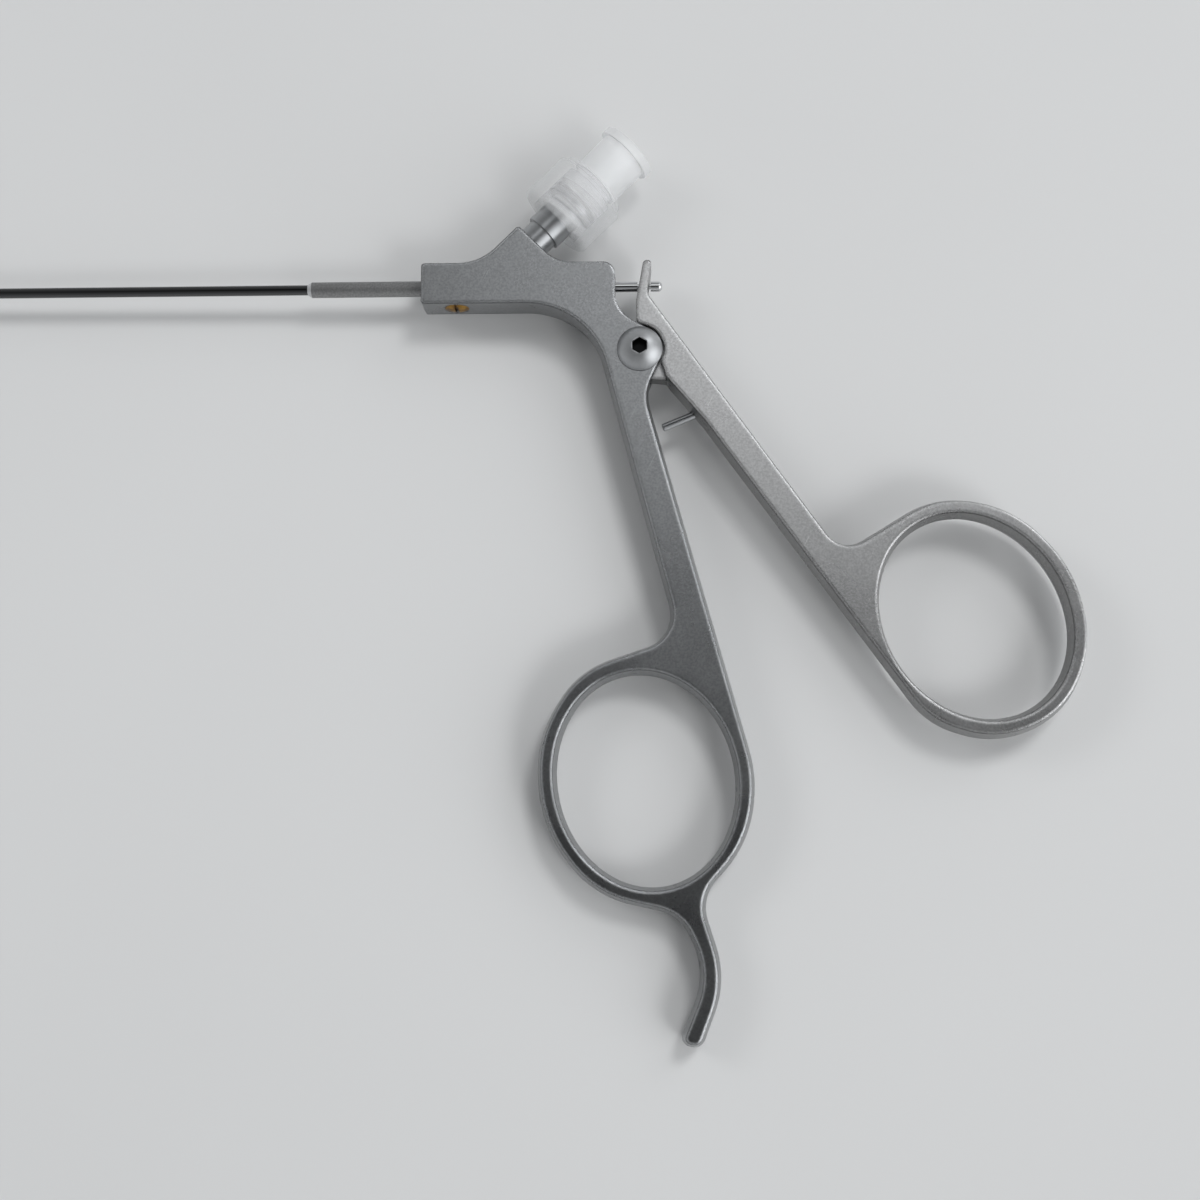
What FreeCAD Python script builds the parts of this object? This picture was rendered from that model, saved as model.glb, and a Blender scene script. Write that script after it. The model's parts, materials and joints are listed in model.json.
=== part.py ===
import FreeCAD, Part
import math
import os

import Sketcher
from FreeCAD import Placement, Rotation, Vector

# Rigid biopsy forceps, lying flat. Millimetres and degrees.
# X runs along the shaft axis with the jaws at -X, Y goes up in the plane of the handles, Z is up.
# The origin is on the shaft axis where the slim shaft leaves its ferrule.

# Driving sizes
SIZES = [
    ("handle_thick", 5.2, "thickness of both handles"),
    ("side_swell", 0.55, "how far the forged sides swell past the flat faces"),
    ("bar_left", 16.8, "left end of the body bar"),
    ("bar_right", 44.75, "right end of the body bar"),
    ("bar_half", 3.0, "half height of the body bar"),
    ("pivot_x", 48.25, "pivot axis, along the shaft"),
    ("lever_arm", 10.0, "height of the rod above the pivot"),
    ("cheek_radius", 3.2, "round cheeks of the front handle"),
    ("tongue_radius", 3.7, "round tongue of the thumb handle"),
    ("tongue_half", 1.25, "half thickness of the tongue"),
    ("tongue_play", 0.05, "side play of the tongue"),
    ("tongue_gap", 0.2, "running gap round the tongue"),
    ("web_in", 1.5, "inner end of the tongue's web, past the pivot"),
    ("web_out", 4.6, "outer end of that web"),
    ("web_low", 4.1, "lower edge of that web, below the pivot"),
    ("web_drop", 0.3, "slope of that edge"),
    ("mouth_in", 0.95, "back of the clevis mouth, past the pivot"),
    ("mouth_out", 8.0, "front of the clevis mouth"),
    ("mouth_low", 4.6, "mouth below the pivot"),
    ("mouth_high", 5.0, "mouth above the pivot"),
    ("shoulder_gap", 0.3, "gap between the cheeks and the thumb handle"),
    ("pivot_radius", 1.75, "shoulder of the pivot screw"),
    ("pivot_play", 0.03, "running play on the shoulder"),
    ("pivot_thread", 1.4, "threaded end of the pivot screw"),
    ("head_radius", 3.25, "head of the pivot screw"),
    ("head_height", 1.8, "height of that head"),
    ("head_brim", 0.15, "straight edge of that head"),
    ("head_flat", 1.25, "flat top of that head, radius"),
    ("hex_across", 2.1, "hexagon socket, across flats"),
    ("hex_depth", 1.4, "depth of the hexagon socket"),
    ("ring_long", 15.3, "half length of both finger rings' openings"),
    ("ring_short", 12.85, "half width of both finger rings' openings"),
    ("ring_band", 1.56, "width of the rings' flat band"),
    ("front_ring_x", 48.9, "centre of the front ring"),
    ("front_ring_y", -71.2, "centre of the front ring"),
    ("front_ring_turn", -79.4, "direction of the front ring's long axis"),
    ("thumb_ring_x", 94.7, "centre of the thumb ring"),
    ("thumb_ring_y", -48.66, "centre of the thumb ring"),
    ("thumb_ring_turn", -58.5, "direction of the thumb ring's long axis"),
    ("fork_slot", 1.0, "width of the fork's slot"),
    ("fork_slot_depth", 4.4, "depth of the fork's slot"),
    ("fork_top", 3.15, "top of the fork above the rod axis"),
    ("fork_cut", 6.0, "width of the cut that makes the fork"),
    ("stop_radius", 0.58, "stop pin"),
    ("stop_wall", 0.2, "wall of the stop pin"),
    ("stop_slit", 0.16, "slit of the stop pin"),
    ("stop_tip_x", 51.49, "free end of the stop pin"),
    ("stop_tip_y", -21.0, "free end of the stop pin"),
    ("stop_length", 8.0, "length of the stop pin"),
    ("stop_bare", 1.5, "stretch of the stop pin that its hole doesn't reach"),
    ("stop_turn", 22.3, "slope of the stop pin"),
    ("port_x", 26.0, "where the port axis meets the shaft axis"),
    ("port_turn", 45.0, "slope of the port axis"),
    ("port_face", 9.4, "distance of the slanted boss face along the port axis"),
    ("port_half", 2.65, "half width of that face"),
    ("stub_radius", 2.8, "metal port stub"),
    ("stub_length", 8.5, "length of the stub outside the boss"),
    ("stub_lip_radius", 3.8, "lip at the stub's end that the collar grips"),
    ("stub_lip", 1.0, "thickness of that lip"),
    ("stub_root_radius", 1.6, "root of the stub in the boss"),
    ("stub_root", 3.0, "length of that root"),
    ("stub_ridge", 0.4, "step down to the stub's foot"),
    ("channel_radius", 0.9, "flush channel"),
    ("taper_radius", 2.15, "mouth of the hub's tapered socket"),
    ("taper_depth", 7.0, "depth of the sockets in hub and stub"),
    ("taper_slope", 0.03, "taper per side"),
    ("nose_radius", 2.0, "nose of the hub in the stub, drawn straight"),
    ("nose_play", 0.04, "play of that nose in its socket"),
    ("nose_spare", 0.5, "room under the nose, and under the hub's shoulder"),
    ("collar_start", 4.5, "bare stub between the boss and the collar"),
    ("collar_length", 8.2, "length of the collar"),
    ("collar_radius", 5.95, "outside of the collar"),
    ("collar_bore", 4.0, "inside of the collar"),
    ("collar_end", 1.1, "end wall of the collar"),
    ("collar_break", 0.35, "chamfer at the collar's mouth"),
    ("collar_step", 0.45, "step down at the collar's far end"),
    ("collar_step_length", 1.0, "length of that step"),
    ("collar_play", 0.05, "running play between collar and hub"),
    ("hub_neck_radius", 3.2, "neck of the hub inside the collar's end wall"),
    ("hub_neck_spare", 0.1, "neck outside the collar's end wall"),
    ("hub_shoulder_play", 0.2, "side play of the hub's shoulder in the collar"),
    ("hub_radius", 3.8, "outer stretch of the hub"),
    ("hub_length", 7.3, "length of the hub outside the collar"),
    ("hub_lip_radius", 4.4, "end flange of the hub"),
    ("hub_lip", 1.2, "thickness of the end flange"),
    ("ferrule_radius", 1.125, "shaft ferrule"),
    ("ferrule_depth", 6.0, "length of the ferrule inside the bar"),
    ("ferrule_fit", 0.02, "play of the ferrule in the bar"),
    ("cone_length", 0.6, "polished cone at the ferrule's front"),
    ("cone_front", 0.78, "small end of that cone"),
    ("tube_length", 391.0, "bare shaft tube in front of the ferrule"),
    ("tube_radius", 0.735, "outside of the shaft tube"),
    ("tube_bore", 0.45, "inside of the shaft tube"),
    ("tube_root", 8.0, "length of the tube's root in the ferrule"),
    ("tube_root_radius", 0.57, "turned-down root of the tube"),
    ("chamber_end", 40.0, "end of the chamber in the bar"),
    ("rod_radius", 0.735, "drive rod"),
    ("rod_play", 0.05, "play of the rod in the bar"),
    ("rod_start", 31.0, "front end of the drive rod"),
    ("rod_end", 51.5, "rounded end of the drive rod"),
    ("rod_crown", 0.45, "length of that rounded end"),
    ("rod_flat", 0.33, "flat at the tip of that end, radius"),
    ("waist_start", 47.95, "waist of the rod, front"),
    ("waist_length", 1.9, "length of the waist"),
    ("waist_radius", 0.4, "waist of the rod"),
    ("wire_radius", 0.3, "pull wire"),
    ("wire_grip", 4.0, "length of wire held in the rod"),
    ("seal_thick", 0.8, "thickness of the rod seal"),
    ("seal_play", 0.02, "play between the seal and the rod"),
    ("washer_thick", 0.5, "seal washer"),
    ("washer_play", 0.08, "play between the washer and the rod"),
    ("lock_x", 21.8, "lock screw, along the shaft"),
    ("lock_radius", 1.75, "lock screw"),
    ("lock_point", 0.6, "point of the lock screw"),
    ("lock_point_length", 0.5, "length of that point"),
    ("lock_proud", 0.35, "how far its crown stands out"),
    ("lock_slot", 0.5, "width of its driver slot"),
    ("lock_slot_depth", 0.7, "depth of its driver slot"),
    ("neck_length", 0.6, "groove between shaft tube and yoke"),
    ("neck_radius", 0.56, "radius of that groove"),
    ("yoke_root", 2.0, "yoke spigot in the shaft tube"),
    ("yoke_solid", 1.2, "closed end of the yoke"),
    ("yoke_slot_half", 0.37, "half width of the yoke's slot"),
    ("yoke_bore", 0.35, "bore of the yoke"),
    ("tail_room", 0.35, "free room behind the jaw tails"),
    ("jaw_pin_radius", 0.2, "jaw pivot pin"),
    ("jaw_pin_play", 0.02, "play on the jaw pins"),
    ("jaw_pin_short", 0.03, "how far the pin's ends stay inside the yoke"),
    ("drive_pin_radius", 0.12, "drive pin"),
    ("drive_reach", 1.78, "drive pin to jaw pivot with the jaws closed"),
    ("jaw_ratio", 6.0, "jaw turn for each degree of the handle"),
    ("handle_close", 4.5, "handle travel from rest to closed"),
    ("handle_open", 0.5, "handle travel from rest to open"),
    ("blade_half", 0.13, "half thickness of the drive blade"),
    ("blade_height", 0.3, "half height of the drive blade"),
    ("blade_length", 2.1, "drive pin to the wire"),
    ("tail_gap", 0.02, "side play of the jaw tails"),
    ("tail_thick", 0.2, "thickness of a jaw tail"),
    ("tail_top", 0.76, "upper edge of a jaw tail"),
    ("tail_end_radius", 0.36, "end of a jaw tail"),
    ("jaw_length", 4.6, "jaw pivot to jaw tip"),
    ("cup_start", 0.95, "jaw pivot to the back of the cup"),
    ("cup_radius", 0.72, "outside of the cup"),
    ("cup_wall", 0.17, "wall of the cup"),
    ("rim_gap", 0.015, "gap of each cup's rim to the middle when closed"),
]


# How far a cut reaches past the material
SPARE = 1.0

# Directions from the pivot, in degrees, of the two corners round the cheeks and round the notch
CHEEK_TURNS = (39, -4)
NOTCH_TURNS = (-3, 49)
NOTCH_START = -29
# Radius of the notch's arcs as a share of the full round, which leaves lines between them
NOTCH_EASE = 0.85

# Stretches of the outlines that follow the rings: first and last parameter angle of the
# oval, and the number of arcs between them
FRONT_RING_RIGHT = (96, 36, 2)
FRONT_RING_LEFT = (-20, -175, 4)
THUMB_RING_SIDE = (180, -45, 6)


class Size:
    """A length with the sheet expression that it comes from."""

    def __init__(self, value, text):
        self.value = value
        self.text = text

    def __add__(self, other):
        other = as_size(other)
        return Size(self.value + other.value, f"({self.text} + {other.text})")

    def __sub__(self, other):
        other = as_size(other)
        return Size(self.value - other.value, f"({self.text} - {other.text})")

    def __mul__(self, other):
        other = as_size(other)
        return Size(self.value * other.value, f"({self.text} * {other.text})")

    def __truediv__(self, other):
        other = as_size(other)
        return Size(self.value / other.value, f"({self.text} / {other.text})")

    def __neg__(self):
        return Size(-self.value, f"(-1 * {self.text})")


def as_size(number):
    return number if isinstance(number, Size) else Size(float(number), f"{float(number):.6f}")


class Sizes:
    """The spreadsheet of driving sizes; each alias is read as an attribute."""

    def __init__(self, doc):
        sheet = doc.addObject("Spreadsheet::Sheet", "sizes")
        for row, (alias, value, meaning) in enumerate(SIZES, start=1):
            sheet.set(f"A{row}", meaning)
            sheet.set(f"B{row}", str(value))
            sheet.setAlias(f"B{row}", alias)
            setattr(self, alias, Size(float(value), f"sizes.{alias}"))


# Helpers for bodies, sketches and features

def bind(obj, prop, size):
    """Set a property from a size and keep it bound to the sheet."""
    size = as_size(size)
    if "." not in prop:
        setattr(obj, prop, size.value)
    obj.setExpression(prop, size.text)


def new_body(doc, label):
    body = doc.addObject("PartDesign::Body", label)
    body.Label = label
    return body


def origin_item(body, role):
    return next(item for item in body.Origin.OriginFeatures if item.Role == role)


def new_sketch(body, name, plane="XY_Plane", offset=None, turn=0.0, shift=(0.0, 0.0)):
    """A sketch on one of the body's own origin planes, moved in that plane and off it."""
    sketch = body.newObject("Sketcher::SketchObject", name)
    sketch.AttachmentSupport = (origin_item(body, plane), [""])
    sketch.MapMode = "FlatFace"
    along, across = as_size(shift[0]), as_size(shift[1])
    height, angle = as_size(offset or 0.0), as_size(turn)
    place = Vector(along.value, across.value, height.value)
    sketch.AttachmentOffset = Placement(place, Rotation(Vector(0, 0, 1), angle.value))
    bind(sketch, "AttachmentOffset.Base.x", along)
    bind(sketch, "AttachmentOffset.Base.y", across)
    bind(sketch, "AttachmentOffset.Base.z", height)
    bind(sketch, "AttachmentOffset.Rotation.Angle", angle)
    return sketch


def hold_point(sketch, index, end, point):
    """Dimension one end of a sketch element from the sketch's origin."""
    for kind, size in zip(("DistanceX", "DistanceY"), point):
        size = as_size(size)
        number = sketch.addConstraint(Sketcher.Constraint(kind, -1, 1, index, end, size.value))
        sketch.setExpression(f"Constraints[{number}]", size.text)


def add_profile(sketch, points):
    """A closed profile of straight lines; a point with four sizes ends an arc through its first two."""
    ends = [tuple(as_size(size) for size in point[-2:]) for point in points]
    places = [Vector(end[0].value, end[1].value, 0) for end in ends]
    for index, point in enumerate(points):
        start, stop = places[index - 1], places[index]
        if len(point) == 4:
            middle = Vector(as_size(point[0]).value, as_size(point[1]).value, 0)
            sketch.addGeometry(Part.ArcOfCircle(start, middle, stop), False)
        else:
            sketch.addGeometry(Part.LineSegment(start, stop), False)
        last = 2 if (sketch.getPoint(index, 2) - stop).Length < 1e-6 else 1
        hold_point(sketch, index, last, ends[index])
    join_ends(sketch, len(points))


def join_ends(sketch, count):
    """Join each element of a closed sketch to the one before it, end to end."""
    for index in range(count):
        before = (index - 1) % count
        for end in (1, 2):
            for other in (1, 2):
                gap = sketch.getPoint(index, end) - sketch.getPoint(before, other)
                if gap.Length < 1e-6:
                    sketch.addConstraint(Sketcher.Constraint("Coincident", before, other, index, end))


def dome(start, end):
    """Arc to the second point about a centre on the axis, so that its turned face is a sphere."""
    (x, radius), (end_x, end_radius) = [[as_size(size).value for size in point] for point in (start, end)]
    centre = (end_x ** 2 + end_radius ** 2 - x ** 2 - radius ** 2) / (2 * (end_x - x))
    reach = math.hypot(x - centre, radius)
    angle = (math.atan2(radius, x - centre) + math.atan2(end_radius, end_x - centre)) / 2
    return (centre + reach * math.cos(angle), reach * math.sin(angle), *end)


def revolve(body, name, points, kind="PartDesign::Revolution", angle=360.0, **place):
    """Turn a profile about the sketch's own horizontal axis, as material or as a cut."""
    sketch = new_sketch(body, name + "_profile", **place)
    add_profile(sketch, points)
    feature = body.newObject(kind, name)
    feature.Profile = sketch
    feature.ReferenceAxis = (sketch, ["H_Axis"])
    feature.Angle = angle
    feature.Midplane = angle != 360.0
    return feature


def pad(body, name, sketch, length, kind="PartDesign::Pad", middle=True, reverse=False):
    """Pad or pocket a sketch, about its plane or to one side."""
    feature = body.newObject(kind, name)
    feature.Profile = sketch
    bind(feature, "Length", length)
    feature.Midplane = middle
    feature.Reversed = reverse
    return feature


def box_profile(low_x, low_y, high_x, high_y):
    return [(low_x, low_y), (high_x, low_y), (high_x, high_y), (low_x, high_y)]


def add_circle(sketch, radius, x=0.0, y=0.0):
    """A circle with its radius and centre held by the sheet."""
    radius, x, y = as_size(radius), as_size(x), as_size(y)
    circle = Part.Circle(Vector(x.value, y.value, 0), Vector(0, 0, 1), radius.value)
    index = sketch.addGeometry(circle, False)
    number = sketch.addConstraint(Sketcher.Constraint("Radius", index, radius.value))
    sketch.setExpression(f"Constraints[{number}]", radius.text)
    hold_point(sketch, index, 3, (x, y))


def place_body(body, x=0.0, y=0.0, z=0.0, axis=(0, 0, 1), turn=0.0):
    """Put a finished piece in the assembly, with its place bound to the sheet."""
    x, y, z, turn = as_size(x), as_size(y), as_size(z), as_size(turn)
    body.Placement = Placement(Vector(x.value, y.value, z.value), Rotation(Vector(*axis), turn.value))
    bind(body, "Placement.Base.x", x)
    bind(body, "Placement.Base.y", y)
    bind(body, "Placement.Base.z", z)
    bind(body, "Placement.Rotation.Angle", turn)


# Outlines of the handles: clockwise corners (x, y, radius, swell), where swell says
# how much of the side swell the edge that leaves the corner takes

def line_meet(point_a, way_a, point_b, way_b):
    """Where two lines in the plane meet."""
    cross = way_a.x * way_b.y - way_a.y * way_b.x
    gap = point_b - point_a
    return point_a + way_a * ((gap.x * way_b.y - gap.y * way_b.x) / cross)


def swollen(corners, grow):
    """The same outline with each edge moved outwards by its share of grow."""
    count = len(corners)
    places = [Vector(x, y, 0) for x, y, radius, swell in corners]
    ways = [(places[(i + 1) % count] - places[i]).normalize() for i in range(count)]
    moved = []
    for i in range(count):
        before, after = ways[i - 1], ways[i]
        share = (corners[i - 1][3], corners[i][3])
        from_a = places[i] + Vector(-before.y, before.x, 0) * grow * share[0]
        from_b = places[i] + Vector(-after.y, after.x, 0) * grow * share[1]
        outward = before.x * after.y - before.y * after.x < 0
        change = grow * (share[0] + share[1]) / 2
        radius = corners[i][2] + (change if outward else -change)
        moved.append((line_meet(from_a, before, from_b, after), radius))
    return moved


def rounded_outline(corners, grow):
    """Lines and tangent arcs through the corners."""
    moved = swollen(corners, grow)
    count = len(moved)
    starts, stops, arcs = [], [], []
    for i in range(count):
        here, radius = moved[i]
        back = (moved[i - 1][0] - here).normalize()
        ahead = (moved[(i + 1) % count][0] - here).normalize()
        half = back.getAngle(ahead) / 2
        reach = radius / math.tan(half)
        centre_way = (back + ahead).normalize()
        middle = here + centre_way * (radius / math.sin(half) - radius)
        starts.append(here + back * reach)
        stops.append(here + ahead * reach)
        arcs.append(Part.ArcOfCircle(starts[i], middle, stops[i]))
    pieces = []
    for i in range(count):
        pieces.append(arcs[i])
        pieces.append(Part.LineSegment(stops[i], starts[(i + 1) % count]))
    return pieces


def ring_corners(centre, turn, half_long, half_short, first, last, count):
    """Corners of the polygon round an oval, between two of its parameter angles."""
    axis = math.radians(turn)
    along = Vector(math.cos(axis), math.sin(axis), 0)
    across = Vector(-math.sin(axis), math.cos(axis), 0)

    def on_oval(angle, scale=1.0):
        angle = math.radians(angle)
        point = along * half_long * math.cos(angle) + across * half_short * math.sin(angle)
        return centre + point * scale

    step = (last - first) / count
    corners = []
    for i in range(count):
        begin, end = first + i * step, first + (i + 1) * step
        corner = on_oval((begin + end) / 2, 1 / math.cos(math.radians(step) / 2))
        back, ahead = on_oval(begin) - corner, on_oval(end) - corner
        reach = 0.97 * min(back.Length, ahead.Length)
        corners.append((corner.x, corner.y, reach * math.tan(back.getAngle(ahead) / 2), 1.0))
    return corners


def loft_levels(sizes):
    """Heights and swell of the three outlines that a handle is lofted through."""
    half = sizes.handle_thick / 2
    return [(-half, 0.0), (0.0, sizes.side_swell.value), (half, 0.0)]


def loft_outline(body, name, sizes, corners):
    """A forged blank: flat faces and sides that swell towards the middle."""
    sketches = []
    for number, (height, grow) in enumerate(loft_levels(sizes)):
        sketch = new_sketch(body, f"{name}_{number}", offset=height)
        sketch.addGeometry(rounded_outline(corners, grow), False)
        join_ends(sketch, len(sketch.Geometry))
        sketches.append(sketch)
    loft(body, name, sketches, "PartDesign::AdditiveLoft")


def loft(body, name, sketches, kind):
    feature = body.newObject(kind, name)
    feature.Profile = sketches[0]
    feature.Sections = [(sketch, [""]) for sketch in sketches[1:]]
    feature.Ruled = True


def cut_ring(body, sizes, centre, turn):
    """The finger opening, narrowest at mid thickness."""
    sketches = []
    for number, (height, grow) in enumerate(loft_levels(sizes)):
        sketch = new_sketch(body, f"opening_{number}", offset=height, turn=turn, shift=centre)
        long_end = Vector(sizes.ring_long.value - grow, 0, 0)
        short_end = Vector(0, sizes.ring_short.value - grow, 0)
        sketch.addGeometry(Part.Ellipse(long_end, short_end, Vector(0, 0, 0)), False)
        sketches.append(sketch)
    loft(body, "opening", sketches, "PartDesign::SubtractiveLoft")


# Front handle

def front_corners(sizes):
    """Outline of the front handle's flat face, clockwise from the bar's lower left corner."""
    left, right = sizes.bar_left.value, sizes.bar_right.value
    bar, port = sizes.bar_half.value, sizes.port_x.value
    pivot = Vector(sizes.pivot_x.value, -sizes.lever_arm.value, 0)
    slope = math.radians(sizes.port_turn.value)
    way = Vector(math.cos(slope), math.sin(slope), 0)
    side = Vector(-math.sin(slope), math.cos(slope), 0)
    face = Vector(port, 0, 0) + way * sizes.port_face.value
    apex = face + side * sizes.port_half.value
    foot_left = line_meet(apex, way, Vector(left, bar, 0), Vector(1, 0, 0))
    foot_right = line_meet(apex, side, Vector(left, bar, 0), Vector(1, 0, 0))
    cheek = sizes.cheek_radius.value

    def round_cheek(angle):
        around = math.radians(angle)
        reach = cheek / math.cos(math.radians(CHEEK_TURNS[0] - CHEEK_TURNS[1]) / 2)
        return (pivot.x + reach * math.cos(around), pivot.y + reach * math.sin(around), cheek, 0.0)

    centre = Vector(sizes.front_ring_x.value, sizes.front_ring_y.value, 0)
    oval = (sizes.ring_long.value + sizes.ring_band.value, sizes.ring_short.value + sizes.ring_band.value)
    turn = sizes.front_ring_turn.value
    hook = [
        (55.75, -87.2, 6.0, 1.0),
        (59.3, -98.3, 13.0, 1.0),
        (55.95, -107.05, 1.1, 1.0),
        (53.95, -106.4, 0.75, 1.0),
        (57.65, -97.35, 10.5, 1.0),
        (53.85, -89.2, 6.5, 1.0),
    ]
    return [
        (left, -bar, 0.5, 0.0),
        (left, bar, 0.5, 0.0),
        (foot_left.x, foot_left.y, 7.5, 0.0),
        (apex.x, apex.y, 0.45, 0.0),
        (foot_right.x, foot_right.y, 5.5, 0.0),
        (right, bar, 1.8, 0.0),
        (right, pivot.y + 5.7, 4.8, 0.0),
        *map(round_cheek, CHEEK_TURNS),
        (pivot.x + 0.45, pivot.y - 6.6, 6.8, 1.0),
        *ring_corners(centre, turn, *oval, *FRONT_RING_RIGHT),
        *hook,
        *ring_corners(centre, turn, *oval, *FRONT_RING_LEFT),
        (54.05, -51.48, 5.3, 1.0),
        (41.15, -bar, 12.2, 0.0),
    ]


def front_handle(doc, sizes):
    """Bar, port boss, arm, finger ring and hook in one forged piece, with the pivot clevis."""
    body = new_body(doc, "front_handle")
    loft_outline(body, "blank", sizes, front_corners(sizes))
    cut_ring(body, sizes, (sizes.front_ring_x, sizes.front_ring_y), sizes.front_ring_turn)
    cut_clevis(body, sizes)
    bore = sizes.ferrule_radius + sizes.ferrule_fit
    hole = sizes.rod_radius + sizes.rod_play
    before, beyond = sizes.bar_left - SPARE, sizes.bar_right + SPARE
    revolve(body, "shaft_bore", [
        (before, 0.0), (before, bore), (sizes.chamber_end, bore),
        (sizes.chamber_end, hole), (beyond, hole), (beyond, 0.0),
    ], "PartDesign::Groove")
    revolve(body, "port_channel", [
        (0.0, 0.0), (0.0, sizes.channel_radius),
        (sizes.port_face - sizes.stub_root, sizes.channel_radius),
        (sizes.port_face - sizes.stub_root, sizes.stub_root_radius),
        (sizes.port_face + SPARE, sizes.stub_root_radius), (sizes.port_face + SPARE, 0.0),
    ], "PartDesign::Groove", shift=(sizes.port_x, 0.0), turn=sizes.port_turn)
    step = sizes.ferrule_radius + sizes.lock_point_length
    revolve(body, "lock_hole", [
        (sizes.ferrule_radius, 0.0), (sizes.ferrule_radius, sizes.lock_point),
        (step, sizes.lock_point), (step, sizes.lock_radius),
        (sizes.bar_half + SPARE, sizes.lock_radius), (sizes.bar_half + SPARE, 0.0),
    ], "PartDesign::Groove", shift=(sizes.lock_x, 0.0), turn=-90.0)
    return body


def cut_clevis(body, sizes):
    """Slot for the thumb handle's tongue and the two holes of the pivot screw."""
    slot = (sizes.tongue_half + sizes.tongue_play) * 2
    across = new_sketch(body, "slot_round")
    add_circle(across, sizes.tongue_radius + sizes.tongue_gap, sizes.pivot_x, -sizes.lever_arm)
    pad(body, "slot", across, slot, "PartDesign::Pocket")
    mouth = new_sketch(body, "slot_mouth")
    low, high = -sizes.lever_arm - sizes.mouth_low, -sizes.lever_arm + sizes.mouth_high
    add_profile(mouth, box_profile(sizes.pivot_x + sizes.mouth_in, low, sizes.pivot_x + sizes.mouth_out, high))
    pad(body, "mouth", mouth, slot, "PartDesign::Pocket")
    shoulder = new_sketch(body, "shoulder_hole")
    add_circle(shoulder, sizes.pivot_radius, sizes.pivot_x, -sizes.lever_arm)
    pad(body, "shoulder", shoulder, sizes.handle_thick, "PartDesign::Pocket", middle=False, reverse=True)
    thread = new_sketch(body, "thread_hole")
    add_circle(thread, sizes.pivot_thread, sizes.pivot_x, -sizes.lever_arm)
    pad(body, "thread", thread, sizes.handle_thick, "PartDesign::Pocket", middle=False)


# Thumb handle

def thumb_corners(sizes):
    """Outline of the thumb handle's flat face, clockwise from the fork's top left corner."""
    pivot = Vector(sizes.pivot_x.value, -sizes.lever_arm.value, 0)
    notch = sizes.cheek_radius.value + sizes.shoulder_gap.value
    centre = Vector(sizes.thumb_ring_x.value, sizes.thumb_ring_y.value, 0)
    oval = (sizes.ring_long.value + sizes.ring_band.value, sizes.ring_short.value + sizes.ring_band.value)

    def from_pivot(across, up):
        return pivot.x + across, pivot.y + up

    def round_notch(angle):
        around = math.radians(angle)
        reach = notch / math.cos(math.radians(NOTCH_TURNS[1] - NOTCH_TURNS[0]) / 2)
        return (*from_pivot(reach * math.cos(around), reach * math.sin(around)), notch * NOTCH_EASE, 0.0)

    start = math.radians(NOTCH_START)
    top = sizes.lever_arm.value + sizes.fork_top.value
    return [
        (*from_pivot(0.58, top), 0.6, 0.0),
        (*from_pivot(1.75, top), 0.5, 0.0),
        (*from_pivot(1.07, 8.14), 1.5, 1.0),
        (76.4, -40.1, 4.1, 1.0),
        *ring_corners(centre, sizes.thumb_ring_turn.value, *oval, *THUMB_RING_SIDE),
        (88.2, -63.05, 11.5, 1.0),
        (*from_pivot(9.3, -10.5), 8.0, 1.0),
        (*from_pivot(3.75, -3.95), 2.0, 0.0),
        (*from_pivot(notch * math.cos(start), notch * math.sin(start)), 0.35, 0.0),
        *map(round_notch, NOTCH_TURNS),
        (*from_pivot(-0.45, 4.0), 1.0, 0.0),
        (*from_pivot(-0.5, 7.0), 3.0, 0.0),
    ]


def thumb_handle(doc, sizes):
    """Thumb ring, arm, fork and tongue in one forged piece."""
    body = new_body(doc, "thumb_handle")
    loft_outline(body, "blank", sizes, thumb_corners(sizes))
    cut_ring(body, sizes, (sizes.thumb_ring_x, sizes.thumb_ring_y), sizes.thumb_ring_turn)
    tongue = sizes.tongue_half * 2
    disc = new_sketch(body, "tongue_round")
    add_circle(disc, sizes.tongue_radius, sizes.pivot_x, -sizes.lever_arm)
    pad(body, "tongue", disc, tongue)
    web = new_sketch(body, "tongue_web")
    low = -sizes.lever_arm - sizes.web_low
    near, far = sizes.pivot_x + sizes.web_in, sizes.pivot_x + sizes.web_out
    high = -sizes.lever_arm
    add_profile(web, [(near, low), (far, low - sizes.web_drop), (far, high), (near, high)])
    pad(body, "web", web, tongue)
    hole = new_sketch(body, "pivot_hole")
    add_circle(hole, sizes.pivot_radius + sizes.pivot_play, sizes.pivot_x, -sizes.lever_arm)
    pad(body, "pivot_bore", hole, sizes.handle_thick, "PartDesign::Pocket")
    slot = new_sketch(body, "fork_slot", plane="YZ_Plane", offset=sizes.pivot_x)
    half = sizes.fork_slot / 2
    add_profile(slot, box_profile(sizes.fork_top - sizes.fork_slot_depth, -half, sizes.fork_top + SPARE, half))
    pad(body, "fork", slot, sizes.fork_cut, "PartDesign::Pocket")
    revolve(body, "stop_hole", [
        (sizes.stop_bare, 0.0), (sizes.stop_bare, sizes.stop_radius),
        (sizes.stop_length, sizes.stop_radius), (sizes.stop_length, 0.0),
    ], "PartDesign::Groove", shift=(sizes.stop_tip_x, sizes.stop_tip_y), turn=sizes.stop_turn)
    return body


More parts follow.
